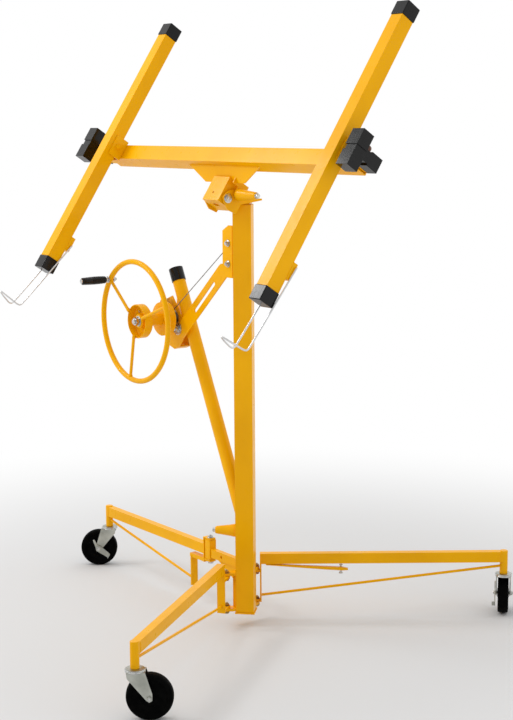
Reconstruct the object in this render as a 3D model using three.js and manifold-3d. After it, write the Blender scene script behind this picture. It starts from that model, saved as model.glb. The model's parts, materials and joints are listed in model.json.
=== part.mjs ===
// A drywall lift: a tripod base on swivel casters, a telescoping mast raised by a hand-wheel winch,
// and a tilting cradle with two cross arms. Millimetres, +Z up. The parts are laid out round the
// mast's axis, and the last lines move the whole lift so that its origin is the centre of its base.
import * as THREE from "three";
import { mergeVertices } from "three/addons/utils/BufferGeometryUtils.js";
import Module from "manifold-3d";

const wasm = await Module();
wasm.setup();

// Driving dimensions
const GAP = 0.35; // between pieces that touch

const MAST_SIDE = 56; // square tubes that stand on a corner, so a corner points along each axis
const MIDDLE_SIDE = 48;
const INNER_SIDE = 39;
const MAST_WALL = 2.5;
const MAST_BOTTOM = 43;
const MAST_TOP = 1304;
const MAST_REAR_CUT = -22; // the rear corners are open, for the cable and the sheave
const MIDDLE_REAR_CUT = -13;
const INNER_REAR_CUT = -12;

const TUBE_OD = 42; // diagonal tube that carries the winch, in the plane Y = 0
const TUBE_TOP = [-366, 1081];
const TUBE_SLOPE = 0.4755; // how far it leans back for each millimetre of height
const TUBE_WALL = 2.5;

const PLATE_Y = 30; // inner face of each brace plate
const PLATE_T = 4;
const SHEAVE_AXIS = [-32, 1187];
const LOWER_BOLT_AXIS = [-32, 1125];
const SHEAVE_R = 17;
const SHEAVE_GROOVE_R = 13.4;
const CABLE_D = 3;

const WINCH_AXIS = [-340, 930];
const WHEEL_Y = -173;
const WHEEL_R = 188;
const RING_D = 17; // the rim and its spokes stand just in front of the cup-shaped hub
const SPOKE_D = 10;
const HUB_R = 53.5;
const CUP_MOUTH_Y = -168.7;
const SHAFT_R = 8;
const REEL_R = 24;
const REEL_CORE_R = 15;
const REEL_Y = [-44.5, -25.5];
const BRACE_END = [-308, 900]; // bolt through the lower end of the slotted arm

const LEG_PIN = [-24, 58]; // front leg hinge; the left one is its mirror
const POST_RADIUS = 812; // caster posts, from the mast axis
const POST_ANGLE = 57.3; // of the front ones, from +X
const REAR_PIN_X = -190;
const LEG_TOP = 211;
const LEG_BOTTOM = 178;
const LEG_WIDTH = 25;
const POST_D = 25;
const POST_BOTTOM = 140;
const STRUT_T = 5; // flat strut that hangs from the leg's inner end
const STRUT_BOTTOM = 55;
const ROD_D = 8.5;

const CASTER_R = 63.5;
const CASTER_WIDTH = 34;
const CASTER_TRAIL = 38;
const FORK_INSIDE = 20;

const TILT = 56.66; // of the cradle at rest, degrees
const TILT_AXIS = [-91, 1327];
const CROSSBAR_S = 114.5; // crossbar centre from the tilt axis, along the arms and across them
const CROSSBAR_N = 31;
const CROSSBAR_SIDE = 50;
const CROSSBAR_HALF = 612;
const ARM_X = 571.6;
const ARM_SIDE = 44.6;
const ARM_WALL = 2.5;
const ARM_DOWN = 466;
const ARM_UP = 452;
const ARM_RISE = 66.6; // arm centre above the crossbar centre
const CAP_LENGTH = 43;
const PAD_X = { left: 687, right: 648 }; // the right outrigger stands a little further in
const PAD_WIDTH = 46;
const PAD_DEPTH = 40;
const PAD_LENGTH = 108;
const OUTRIGGER_SIDE = 38;
const OUTRIGGER_CAP_HALF = 20.5;
const PAD_SHIFT = -4; // toward the arms' lower end
const PAD_CAP_IN = 27; // from the pad's centre back to its cap's mouth
const OUTRIGGER_INNER_X = 330;
const HOOK_D = 5;
const HOOK_X = 28.8; // each run of the hook, from the arm's centre
const HOOK_INSIDE = HOOK_X - HOOK_D / 2;
const HOOK_SLOPE = 5.1;
const HOOK_PIVOT_S = { left: -357, right: -340 }; // from the arm's centre, along the arm
const HOOK_PIVOT_N = -33.4; // and across it
const HOOK_SWING = { left: 8.6, right: 0 };

// Materials
const paint = { color: 0xf7ab16, roughness: 0.38, metalness: 0.1 };
const black = { color: 0x151515, roughness: 0.4, metalness: 0 };
const zinc = { color: 0xa9ab9f, roughness: 0.35, metalness: 0.9 };
const bright = { color: 0xc9c9c4, roughness: 0.25, metalness: 1 };
const tyre = { color: 0x0c0c0c, roughness: 0.55, metalness: 0 };

// ---- geometry helpers -------------------------------------------------------------------------

function solid(geometry) {
  const bare = geometry.index ? geometry.toNonIndexed() : geometry.clone();
  bare.deleteAttribute("normal");
  bare.deleteAttribute("uv");
  const merged = mergeVertices(bare, 1e-3);
  const surface = new wasm.Mesh({
    numProp: 3,
    vertProperties: new Float32Array(merged.attributes.position.array),
    triVerts: new Uint32Array(merged.index.array),
  });
  return new wasm.Manifold(surface);
}

function geometryOf(manifold) {
  const mesh = manifold.getMesh();
  const geometry = new THREE.BufferGeometry();
  geometry.setAttribute("position", new THREE.BufferAttribute(new Float32Array(mesh.vertProperties), 3));
  geometry.setIndex(new THREE.BufferAttribute(new Uint32Array(mesh.triVerts), 1));
  geometry.computeVertexNormals();
  return geometry;
}

function join(...pieces) {
  return geometryOf(pieces.map(solid).reduce((all, piece) => all.add(piece)));
}

function cut(body, ...tools) {
  return geometryOf(tools.map(solid).reduce((rest, tool) => rest.subtract(tool), solid(body)));
}

function box(x0, x1, y0, y1, z0, z1) {
  const geometry = new THREE.BoxGeometry(x1 - x0, y1 - y0, z1 - z0);
  return geometry.translate((x0 + x1) / 2, (y0 + y1) / 2, (z0 + z1) / 2);
}

// A round bar between two points.
function bar(from, to, radius, sides = 20, endRadius = radius) {
  const a = new THREE.Vector3(...from);
  const b = new THREE.Vector3(...to);
  const along = b.clone().sub(a);
  const geometry = new THREE.CylinderGeometry(endRadius, radius, along.length(), sides);
  const turn = new THREE.Quaternion().setFromUnitVectors(new THREE.Vector3(0, 1, 0), along.normalize());
  return geometry.applyQuaternion(turn).translate(...a.add(b).divideScalar(2).toArray());
}

// A turned piece with its axis along Y: profile points are [radius, y].
function turned(profile, sides = 24) {
  return new THREE.LatheGeometry(profile.map(([r, y]) => new THREE.Vector2(r, y)), sides);
}

function outline(points, holes = []) {
  const shape = new THREE.Shape(points.map(([x, y]) => new THREE.Vector2(x, y)));
  for (const hole of holes) shape.holes.push(new THREE.Path(hole.map(([x, y]) => new THREE.Vector2(x, y))));
  return shape;
}

// An outline in the XY plane, raised from z0 to z1.
function slab(shape, z0, z1) {
  const geometry = new THREE.ExtrudeGeometry(shape, { depth: z1 - z0, bevelEnabled: false });
  return geometry.translate(0, 0, z0);
}

// An outline in the XZ plane, standing between two values of Y.
function wall(shape, y0, y1) {
  return slab(shape, -y1, -y0).rotateX(Math.PI / 2);
}

// A round wire or cable along points.
function wire(points, diameter, steps, sides = 8) {
  const path = new THREE.CatmullRomCurve3(points.map((p) => new THREE.Vector3(...p)), false, "centripetal");
  const section = new THREE.Shape();
  section.absarc(0, 0, diameter / 2, 0, 2 * Math.PI);
  return new THREE.ExtrudeGeometry(section, { steps, extrudePath: path, curveSegments: sides / 2 });
}

const lift = new THREE.Group();

function mesh(name, geometry, look, parent = lift) {
  const made = new THREE.Mesh(geometry, new THREE.MeshStandardMaterial(look));
  made.name = name;
  parent.add(made);
  return made;
}

const radians = THREE.MathUtils.degToRad;

// ---- mast -------------------------------------------------------------------------------------

// A square standing on its corner, from its centre to each corner.
function square(reach) {
  return [[reach, 0], [0, reach], [-reach, 0], [0, -reach]];
}

// One square tube standing on its corner, with its rear corner open.
function mastSection(side, rearCut, z0, z1) {
  const out = side / Math.SQRT2;
  const inside = out - MAST_WALL * Math.SQRT2;
  const tube = slab(
    outline(square(out), [square(inside).reverse()]),
    z0,
    z1,
  );
  return cut(tube, box(-out - 1, rearCut, -out, out, z0 - 1, z1 + 1));
}

mesh("mast_outer", mastSection(MAST_SIDE, MAST_REAR_CUT, MAST_BOTTOM, MAST_TOP), paint);
mesh("mast_middle", mastSection(MIDDLE_SIDE, MIDDLE_REAR_CUT, MAST_BOTTOM + 25, MAST_TOP + 4), paint);
mesh("mast_inner", mastSection(INNER_SIDE, INNER_REAR_CUT, MAST_BOTTOM + 35, MAST_TOP + 8), paint);

// ---- diagonal tube and winch ------------------------------------------------------------------

const mastHalf = MAST_SIDE / Math.SQRT2;
const tubeX = (z) => TUBE_TOP[0] + TUBE_SLOPE * (TUBE_TOP[1] - z);
const mastClear = slab(
  outline([[mastHalf + GAP, 0], [0, mastHalf + GAP], [-mastHalf - GAP, 0], [0, -mastHalf - GAP]]),
  0,
  MAST_TOP + 40,
);

function diagonalTube() {
  const foot = [tubeX(330), 0, 330];
  const head = [tubeX(TUBE_TOP[1] - 6), 0, TUBE_TOP[1] - 6];
  const outside = bar(foot, head, TUBE_OD / 2, 24);
  const bore = bar([tubeX(300), 0, 300], [tubeX(1200), 0, 1200], TUBE_OD / 2 - TUBE_WALL, 24);
  return cut(outside, bore, mastClear, box(-18, 60, -60, 60, 0, 1400));
}
mesh("diagonal_tube", diagonalTube(), paint);

const tubeUp = new THREE.Vector3(-TUBE_SLOPE, 0, 1).normalize();
const tubeTop = new THREE.Vector3(TUBE_TOP[0], 0, TUBE_TOP[1]);
const alongTube = (fromTop) => tubeTop.clone().addScaledVector(tubeUp, -fromTop).toArray();

function tubeCap() {
  const cap = bar(alongTube(40), alongTube(-4), TUBE_OD / 2 + 2, 24);
  return cut(cap, bar(alongTube(48), alongTube(5), TUBE_OD / 2 + GAP, 24));
}
mesh("diagonal_tube_cap", tubeCap(), black);

// Slotted arm of the near brace plate, from the plate down to the winch bolt.
const ARM_FOOT = [-298, 888];
const ARM_HEAD = [-62, 1099];
const ARM_HALF_WIDTH = 25;
const SLOT_ENDS = [[-209, 966], [-108, 1058]];

function roundEnded(from, to, radius, sides = 8) {
  const angle = Math.atan2(to[1] - from[1], to[0] - from[0]);
  const points = [];
  for (const [centre, start] of [[to, angle - Math.PI / 2], [from, angle + Math.PI / 2]]) {
    for (let i = 0; i <= sides; i++) {
      const turn = start + (Math.PI * i) / sides;
      points.push([centre[0] + radius * Math.cos(turn), centre[1] + radius * Math.sin(turn)]);
    }
  }
  return points;
}

// A bore along Y, through both sides.
const across = (axis, radius) => bar([axis[0], -60, axis[1]], [axis[0], 60, axis[1]], radius, 20);

function bracePlate(y0, y1, withArm) {
  const edge = -(mastHalf - Math.min(Math.abs(y0), Math.abs(y1))) - 1.5;
  const top = withArm ? 1241 : 1225;
  const points = [[-60, 1100], [-50, 1083], [edge, 1083], [edge, top], [-30, top], [-60, top - 17]];
  const head = wall(outline(points), y0, y1);
  const tools = [mastClear, across(SHEAVE_AXIS, 5.3), across(LOWER_BOLT_AXIS, 5.3)];
  if (!withArm) return cut(head, ...tools);
  const arm = wall(outline(roundEnded(ARM_FOOT, ARM_HEAD, ARM_HALF_WIDTH)), y0, y1);
  const slot = wall(outline(roundEnded(...SLOT_ENDS, 6)), y0 - 5, y1 + 5);
  return cut(join(head, arm), ...tools, slot, across(BRACE_END, 8.4));
}
mesh("brace_plate", bracePlate(-PLATE_Y - PLATE_T, -PLATE_Y, true), paint);
mesh("brace_plate_far", bracePlate(PLATE_Y, PLATE_Y + PLATE_T, false), paint);

function bolt(axis, y0, y1, shank, head) {
  return join(
    bar([axis[0], y0, axis[1]], [axis[0], y1, axis[1]], shank, 16),
    bar([axis[0], y0 - 1, axis[1]], [axis[0], y0 + 6, axis[1]], head, 6),
    bar([axis[0], y1 - 6, axis[1]], [axis[0], y1 + 1, axis[1]], head, 6),
  );
}
const plateOut = PLATE_Y + PLATE_T;
mesh("sheave_bolt", bolt(SHEAVE_AXIS, -plateOut - 7, plateOut + 7, 5, 8.5), bright);
mesh("brace_lower_bolt", bolt(LOWER_BOLT_AXIS, -plateOut - 7, plateOut + 7, 5, 8.5), bright);

const sheaveProfile = [
  [5.35, -6], [SHEAVE_R, -6], [SHEAVE_GROOVE_R, -1.8], [SHEAVE_GROOVE_R, 1.8], [SHEAVE_R, 6], [5.35, 6],
  [5.35, -6],
];
mesh("cable_sheave", turned(sheaveProfile), zinc).position.set(SHEAVE_AXIS[0], 0, SHEAVE_AXIS[1]);

// Two side plates straddle the tube, joined behind it.
const bracketIn = TUBE_OD / 2 + GAP;
const bracketOut = bracketIn + 3;

function winchBracket() {
  const plate = outline([
    [-352, 1000], [-396, 984], [-404, 900], [-396, 862], [-376, 838], [-346, 828], [-318, 838],
    [-296, 862], [-287, 890], [-294, 930],
  ]);
  const near = wall(plate, -bracketOut, -bracketIn);
  const far = wall(plate, bracketIn, bracketOut);
  const web = wall(
    outline([
      [-394, 862], [-376, 838], [-346, 828], [-318, 838], [-322, 842], [-346, 833], [-373, 842], [-390, 864],
    ]),
    -bracketOut,
    bracketOut,
  );
  return cut(join(near, far, web), across(WINCH_AXIS, SHAFT_R + 0.3), across(BRACE_END, 8.4));
}
mesh("winch_bracket", winchBracket(), paint);

function braceBolt() {
  const [x, z] = BRACE_END;
  return join(
    bar([x, -41, z], [x, bracketOut + 12, z], 8, 16),
    bar([x, -PLATE_Y - PLATE_T - 3.4, z], [x, -PLATE_Y - PLATE_T - GAP, z], 19, 20),
    bar([x, -43.5, z], [x, -PLATE_Y - PLATE_T - 3, z], 12, 6),
    bar([x, -PLATE_Y + GAP, z], [x, -bracketOut - GAP, z], 12, 16),
    bar([x, bracketOut + GAP, z], [x, bracketOut + 10, z], 12, 6),
  );
}
mesh("brace_bolt", cut(braceBolt(), bar([tubeX(300), 0, 300], [tubeX(1200), 0, 1200], TUBE_OD / 2 + GAP, 24),
  box(-400, -200, bracketOut + 30, 100, 800, 1000)), bright);

// The winch's turning pieces, in their own group on the winch axis.
const winch = new THREE.Group();
winch.position.set(WINCH_AXIS[0], 0, WINCH_AXIS[1]);
lift.add(winch);

mesh("winch_shaft", join(
  bar([0, WHEEL_Y - 4, 0], [0, bracketOut + 9, 0], SHAFT_R, 20),
  bar([0, WHEEL_Y - 6, 0], [0, CUP_MOUTH_Y + 6.5, 0], 12, 6),
  bar([0, bracketOut + 1, 0], [0, bracketOut + 8, 0], 13, 6),
), bright, winch);

// Cup-shaped hub with the long sleeve that reaches the brake.
const CUP_DEPTH = 29;
const SLEEVE_R = 19;
const cupFloor = CUP_MOUTH_Y + CUP_DEPTH;
const DRUM_Y = [-80, -54];
mesh("wheel_hub", turned([
  [SHAFT_R + GAP, CUP_MOUTH_Y + 7], [22, CUP_MOUTH_Y + 7], [22, cupFloor - 4], [HUB_R - 3.5, cupFloor - 4],
  [HUB_R - 3.5, CUP_MOUTH_Y], [HUB_R, CUP_MOUTH_Y], [HUB_R, cupFloor], [SLEEVE_R, cupFloor],
  [SLEEVE_R, DRUM_Y[0] - GAP], [SHAFT_R + GAP, DRUM_Y[0] - GAP],
  [SHAFT_R + GAP, CUP_MOUTH_Y + 7],
]), paint, winch);

const SPOKE_ANGLES = [19.6, 139.6, 259.6];
const GRIP_ANGLE = radians(139.6);
const gripAt = [WHEEL_R * Math.cos(GRIP_ANGLE), WHEEL_R * Math.sin(GRIP_ANGLE)];
const RING_Y = CUP_MOUTH_Y - SPOKE_D / 2 - GAP - 0.3;
const GRIP_START = RING_D / 2 + 10;
const GRIP_LENGTH = 86;

// The grip's pin is welded to the rim, with a nut against it.
function gripPin() {
  const [x, z] = gripAt;
  const pin = bar([x, -GRIP_START - GRIP_LENGTH - 4, z], [x, 0, z], 5, 12);
  return join(pin, bar([x, -GRIP_START + 1, z], [x, -4, z], 9, 6));
}

function handWheel() {
  const ring = new THREE.TorusGeometry(WHEEL_R, RING_D / 2, 8, 40).rotateX(Math.PI / 2);
  const spokes = SPOKE_ANGLES.map((degrees) => {
    const [c, s] = [Math.cos(radians(degrees)), Math.sin(radians(degrees))];
    const start = HUB_R - 9;
    return bar([c * start, 0, s * start], [c * WHEEL_R, 0, s * WHEEL_R], SPOKE_D / 2, 10);
  });
  return join(ring, ...spokes, gripPin()).translate(0, RING_Y, 0);
}
mesh("hand_wheel", handWheel(), paint, winch);

mesh("brake_drum", turned([
  [SHAFT_R + GAP, DRUM_Y[0]], [HUB_R - 5, DRUM_Y[0]], [HUB_R, DRUM_Y[0] + 5], [HUB_R, DRUM_Y[1]],
  [SHAFT_R + GAP, DRUM_Y[1]],
  [SHAFT_R + GAP, DRUM_Y[0]],
]), paint, winch);

mesh("cable_reel", turned([
  [SHAFT_R + GAP, REEL_Y[0]], [REEL_R, REEL_Y[0]], [REEL_R, REEL_Y[0] + 2], [REEL_CORE_R, REEL_Y[0] + 2],
  [REEL_CORE_R, REEL_Y[1] - 2], [REEL_R, REEL_Y[1] - 2], [REEL_R, REEL_Y[1]], [SHAFT_R + GAP, REEL_Y[1]],
  [SHAFT_R + GAP, REEL_Y[0]],
]), zinc, winch);

// Grip that turns on its pin, pointing away from the mast.
const grip = new THREE.Group();
grip.position.set(gripAt[0], RING_Y - GRIP_START, gripAt[1]);
winch.add(grip);
mesh("wheel_grip", turned([
  [5.4, -GRIP_LENGTH], [9, -GRIP_LENGTH], [10.5, -GRIP_LENGTH + 4], [12.5, -60], [12.5, -26], [10, 0], [5.4, 0],
  [5.4, -GRIP_LENGTH],
], 16), black, grip);

// Cable: off the top of the reel, over the sheave and down inside the mast's open corner.
function liftCable() {
  const reach = REEL_CORE_R + CABLE_D / 2 + 0.4;
  const lay = SHEAVE_GROOVE_R + CABLE_D / 2 + 0.25;
  const off = radians(130);
  const [reelX, reelZ] = [reach * Math.cos(off), reach * Math.sin(off)];
  const start = new THREE.Vector3(WINCH_AXIS[0] + reelX, -34, WINCH_AXIS[1] + reelZ);
  const around = (turn) => new THREE.Vector3(
    SHEAVE_AXIS[0] + lay * Math.cos(turn), 0, SHEAVE_AXIS[1] + lay * Math.sin(turn),
  );
  const lead = around(off);
  const down = around(0);
  const foot = [down.x, 0, 120];
  const arc = [];
  for (let i = 0; i <= 12; i++) arc.push(around(off * (1 - i / 12)));
  const section = new THREE.Shape();
  section.absarc(0, 0, CABLE_D / 2, 0, 2 * Math.PI);
  const over = new THREE.ExtrudeGeometry(section, {
    steps: 12, extrudePath: new THREE.CatmullRomCurve3(arc, false, "centripetal"), curveSegments: 4,
  });
  const straight = (from, to) => bar(from, to, CABLE_D / 2, 8);
  const past = (from, to) => to.clone().addScaledVector(to.clone().sub(from).normalize(), 0.6).toArray();
  return join(
    straight(start.toArray(), past(start, lead)),
    over,
    straight([down.x, 0, down.z + 0.6], foot),
  );
}
mesh("lift_cable", liftCable(), bright);

// ---- base -------------------------------------------------------------------------------------

// Bracket at each side of the mast's foot: two ears that hold a leg's hinge pin.
function legBracket(side) {
  const [x, y] = LEG_PIN;
  const earShape = [[x - 11, y], [x - 7, y + 8], [x, y + 11], [x + 8, y + 7], [x + 11, y], [4, 30], [-34, 4]];
  const webShape = [[-30, 12], [-38, 14], [-22, 34], [-14, 28]];
  const placed = (shape, z0, z1) => slab(outline(shape.map((point) => [point[0], side * point[1]])), z0, z1);
  const bracket = join(placed(earShape, 46, 54), placed(earShape, 160, 168), placed(webShape, 50, 165));
  return cut(bracket, mastClear, bar([x, side * y, 0], [x, side * y, 300], 5.4, 16));
}
mesh("left_leg_bracket", legBracket(-1), paint);
mesh("right_leg_bracket", legBracket(1), paint);

// Spine that ties the rear leg's hinge to the mast. Its knuckle is an upright block on the pin.
const KNUCKLE_Z = [164, 228];
function rearSpine() {
  const knuckle = box(REAR_PIN_X - 13, REAR_PIN_X + 13, -12.5, 12.5, ...KNUCKLE_Z);
  const arm = box(REAR_PIN_X + 12, -20, -9, 9, 172, 200);
  const gusset = wall(outline([[-150, 173], [-30, 173], [-30, 112]]), -3, 3);
  const hole = bar([-120, -20, 186], [-120, 20, 186], 5, 16);
  const pinHole = bar([REAR_PIN_X, 0, 0], [REAR_PIN_X, 0, 300], 5.4, 16);
  return cut(join(knuckle, arm, gusset), mastClear, hole, pinHole);
}
mesh("rear_spine", rearSpine(), paint);

// A leg in its own frame: the hinge pin is at the origin and the leg runs along +X. A flat strut hangs
// from its inner end, and the caster's post closes its outer end.
function legBeam(length, strutX) {
  const half = LEG_WIDTH / 2;
  const wallT = 2.5;
  const drain = bar([length - 70, 0, LEG_BOTTOM - 2], [length - 70, 0, LEG_BOTTOM + 8], 3.5, 12);
  const inside = half - wallT;
  const hollow = box(strutX + 1, length - POST_D / 2 + 2, -inside, inside, LEG_BOTTOM + wallT, LEG_TOP - wallT);
  const beam = cut(box(strutX, length, -half, half, LEG_BOTTOM, LEG_TOP), hollow, drain);
  const post = bar([length, 0, POST_BOTTOM], [length, 0, LEG_TOP + 1], POST_D / 2, 24);
  const strut = box(strutX - STRUT_T / 2, strutX + STRUT_T / 2, -half, half, STRUT_BOTTOM, LEG_TOP);
  return [beam, post, strut];
}

function frontLeg(length, strutX) {
  const ears = [box(-10, strutX, -10, 10, 55, 63), box(-10, strutX, -10, 10, 151, 159)];
  return cut(join(...legBeam(length, strutX), ...ears), bar([0, 0, 0], [0, 0, 300], 5.4, 16));
}

// The rear leg's clevis goes round the knuckle, and its strut stands further out, under the beam.
const CLEVIS_X = 19.5;
function rearLeg(length, strutX) {
  const half = LEG_WIDTH / 2;
  const [beam, post] = legBeam(length, CLEVIS_X);
  const strut = box(strutX - STRUT_T / 2, strutX + STRUT_T / 2, -half, half, STRUT_BOTTOM, 157);
  const riser = box(CLEVIS_X, CLEVIS_X + 5, -half, half, 151, 234);
  const ears = [box(-12, CLEVIS_X + 5, -11, 11, 229, 234), box(-12, strutX + 8, -11, 11, 157, 163)];
  const foot = box(CLEVIS_X, strutX + 8, -11, 11, 151, 157.5);
  return cut(join(beam, post, strut, riser, foot, ...ears), bar([0, 0, 0], [0, 0, 300], 5.4, 16));
}

function legRod(length, strutX) {
  const start = strutX + STRUT_T / 2 + GAP;
  return cut(bar([start - 8, 0, 74], [length, 0, 165], ROD_D / 2, 10),
    box(start - 30, start, -20, 20, 0, 300), bar([length, 0, 0], [length, 0, 300], POST_D / 2 + GAP, 20),
    box(length, length + 40, -20, 20, 0, 300));
}

// A hinge pin: a bolt with its head below and its nut on top.
function legPin(bottom, top) {
  const head = 8.5;
  return join(bar([0, 0, bottom], [0, 0, top], 5, 16), bar([0, 0, top - 6], [0, 0, top], head, 6),
    bar([0, 0, bottom], [0, 0, bottom + 6], head, 6));
}

// Caster in its own frame: the swivel axis is the Z axis and the wheel trails towards -X.
function casterFork() {
  const crown = bar([0, 0, 131], [0, 0, POST_BOTTOM - GAP], 25, 24);
  const bridge = box(-28, 22, -FORK_INSIDE - 3, FORK_INSIDE + 3, 130.5, 134);
  const cheek = outline([
    [-28, 134], [22, 134], [20, 118], [-CASTER_TRAIL + 8, 58], [-CASTER_TRAIL, 53], [-CASTER_TRAIL - 8, 58],
    [-CASTER_TRAIL - 8, 76],
  ]);
  const cheeks = [wall(cheek, -FORK_INSIDE - 3, -FORK_INSIDE), wall(cheek, FORK_INSIDE, FORK_INSIDE + 3)];
  const axle = bar([-CASTER_TRAIL, -30, CASTER_R], [-CASTER_TRAIL, 30, CASTER_R], 5, 16);
  const nut = bar([-CASTER_TRAIL, 23, CASTER_R], [-CASTER_TRAIL, 29, CASTER_R], 7.5, 6);
  return join(crown, bridge, ...cheeks, axle, nut);
}

function casterWheel() {
  const half = CASTER_WIDTH / 2;
  return turned([
    [5.35, -half - 1.5], [14, -half - 1.5], [16, -half + 4], [40, -half + 4], [46, -half],
    [CASTER_R - 6, -half], [CASTER_R, -half + 7], [CASTER_R, half - 7], [CASTER_R - 6, half],
    [46, half], [40, half - 4], [16, half - 4], [14, half + 1.5], [5.35, half + 1.5], [5.35, -half - 1.5],
  ], 24).translate(-CASTER_TRAIL, 0, CASTER_R);
}

// Brake lever on the axle, outside the fork's cheek.
function brakePedal() {
  const lever = outline([
    [-20, 30], [-15, 33], [-3, 12], [8, 8], [38, -18], [30, -32], [-2, -12], [-9, -8], [-11, 4],
  ]);
  const plate = wall(lever, -FORK_INSIDE - 7, -FORK_INSIDE - 4);
  const foot = outline([[38, -18], [30, -32], [32.5, -33.5], [40.5, -19.5]]);
  const tab = wall(foot, -FORK_INSIDE - 15, -FORK_INSIDE - 4);
  return cut(join(plate, tab), bar([0, -60, 0], [0, 60, 0], 5.4, 16)).translate(-CASTER_TRAIL, 0, CASTER_R);
}

const postX = POST_RADIUS * Math.cos(radians(POST_ANGLE));
const postY = POST_RADIUS * Math.sin(radians(POST_ANGLE));
const LEGS = [
  { name: "left", pin: [LEG_PIN[0], -LEG_PIN[1]], post: [postX, -postY], strutX: 52, trail: 53, braked: false },
  { name: "right", pin: LEG_PIN, post: [postX, postY], strutX: 14, trail: 134, braked: true },
  { name: "rear", pin: [REAR_PIN_X, 0], post: [-POST_RADIUS, 0], strutX: 95, trail: -127, braked: true },
];

for (const { name, pin, post, strutX, trail, braked } of LEGS) {
  const rear = name === "rear";
  const length = Math.hypot(post[0] - pin[0], post[1] - pin[1]);
  const leg = new THREE.Group();
  leg.position.set(pin[0], pin[1], 0);
  leg.rotation.z = Math.atan2(post[1] - pin[1], post[0] - pin[0]);
  lift.add(leg);
  mesh(`${name}_leg`, rear ? rearLeg(length, strutX) : frontLeg(length, strutX), paint, leg);
  mesh(`${name}_leg_rod`, legRod(length, strutX), paint, leg);
  mesh(`${name}_leg_pin`, rear ? legPin(150, 240.5) : legPin(39.5, 174.5), bright, leg);
  const caster = new THREE.Group();
  caster.position.set(post[0], post[1], 0);
  caster.rotation.z = radians(trail + 180);
  lift.add(caster);
  mesh(`${name}_caster_fork`, casterFork(), zinc, caster);
  mesh(`${name}_caster_wheel`, casterWheel(), tyre, caster);
  if (braked) mesh(`${name}_brake_pedal`, brakePedal(), zinc, caster);
}

// Sprung latch: a tapered handle on a plated pin, along +X of its own frame.
function latchHandle(length, wide, narrow) {
  const tip = bar([length - 1, 0, 0], [length + 9, 0, 0], 6.5, 16);
  return join(bar([0, 0, 0], [length, 0, 0], wide, 24, narrow), tip);
}

// It points away from the mast's rear left face.
const BASE_LATCH_Z = 298;
const baseLatch = new THREE.Group();
const latchStart = (MAST_SIDE / 2 + GAP) / Math.SQRT2;
baseLatch.position.set(-latchStart, -latchStart, BASE_LATCH_Z);
baseLatch.rotation.z = radians(-135);
lift.add(baseLatch);
mesh("base_latch", latchHandle(66, 20, 11.5), paint, baseLatch);

// ---- head and cradle --------------------------------------------------------------------------

// Head that swivels on the mast: a cap plate with two ears that hold the tilt bolt.
function headYoke() {
  const [py, pz] = TILT_AXIS;
  const plate = box(-50, 50, -14, 34, MAST_TOP + 12, MAST_TOP + 17);
  const stem = bar([4, 0, MAST_TOP - 60], [4, 0, MAST_TOP + 13], 13, 20);
  const points = [
    [34, 1316], [-44, 1306], [-64, 1280], [-91, 1292], [-105, 1316], [-108, 1330], [-98, 1342],
    [-84, 1350], [-66, 1350], [-54, 1338], [-46, 1325], [34, 1321],
  ];
  const ear = (x0, x1) => slab(outline(points), x0, x1).rotateX(Math.PI / 2).rotateZ(Math.PI / 2);
  const all = join(plate, stem, ear(46, 50), ear(-50, -46));
  return cut(all, bar([-80, py, pz], [80, py, pz], 6.4, 16));
}
mesh("head_yoke", headYoke(), paint);

const tiltBolt = join(
  bar([-56, 0, 0], [56, 0, 0], 6, 16),
  bar([50 + GAP, 0, 0], [58, 0, 0], 11, 6),
  bar([-58, 0, 0], [-50 - GAP, 0, 0], 11, 6),
);
mesh("tilt_bolt", tiltBolt, bright).position.set(0, ...TILT_AXIS);

// The cradle's frame: its origin is the tilt axis, +Y runs along the arms and +Z across them.
const cradle = new THREE.Group();
cradle.position.set(0, ...TILT_AXIS);
cradle.rotation.x = radians(TILT);
lift.add(cradle);

function cradleBox() {
  const shell = box(-40, 40, -20, 60, -41, 21);
  const hollow = box(-37, 37, -17, 61, -42, 18);
  const slot = new THREE.CylinderGeometry(8, 8, 20, 16).scale(1.8, 1, 1).translate(-4, -20, -8);
  const boltHole = bar([-80, 0, 0], [80, 0, 0], 6.4, 16);
  return cut(shell, hollow, slot, boltHole, bar([-4, 6, 0], [-4, 6, 40], 3.5, 12));
}
mesh("cradle_box", cradleBox(), paint, cradle);

function squareTube(side, wallT, x0, x1, s, n) {
  const half = side / 2;
  return cut(box(x0, x1, s - half, s + half, n - half, n + half),
    box(x0 - 1, x1 + 1, s - half + wallT, s + half - wallT, n - half + wallT, n + half - wallT));
}

const LATCH_S = 25;
const LATCH_N = -22;

// Crossbar with its welded gusset, which slopes down to the cradle box, and the tilt latch's plate.
function crossbar() {
  const barBottom = CROSSBAR_S - CROSSBAR_SIDE / 2;
  const plate = slab(outline([[-178, 0], [-98, -50], [98, -50], [178, 0]]), -2.5, 2.5);
  plate.rotateX(radians(38)).translate(0, barBottom + 1, 32);
  const latchPlate = cut(box(56, 60, 18, 62, -42, 14), box(50, 66, 0, 44, -8, 20),
    bar([0, LATCH_S, LATCH_N], [90, LATCH_S, LATCH_N], 7.4, 16));
  const gusset = cut(plate, box(-200, 200, barBottom + 1, barBottom + 20, -60, 60),
    box(-40 - GAP, 40 + GAP, -30, 60 + GAP, -41 - GAP, 21 + GAP));
  const tube = squareTube(CROSSBAR_SIDE, 3, -CROSSBAR_HALF, CROSSBAR_HALF, CROSSBAR_S, CROSSBAR_N);
  return join(tube, gusset, latchPlate);
}
mesh("crossbar", crossbar(), paint, cradle);

const tiltLatch = new THREE.Group();
tiltLatch.position.set(60 + GAP, LATCH_S, LATCH_N);
cradle.add(tiltLatch);
mesh("tilt_latch", join(latchHandle(88, 18, 10.5), bar([-9.6, 0, 0], [1, 0, 0], 7, 12)), paint, tiltLatch);

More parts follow.
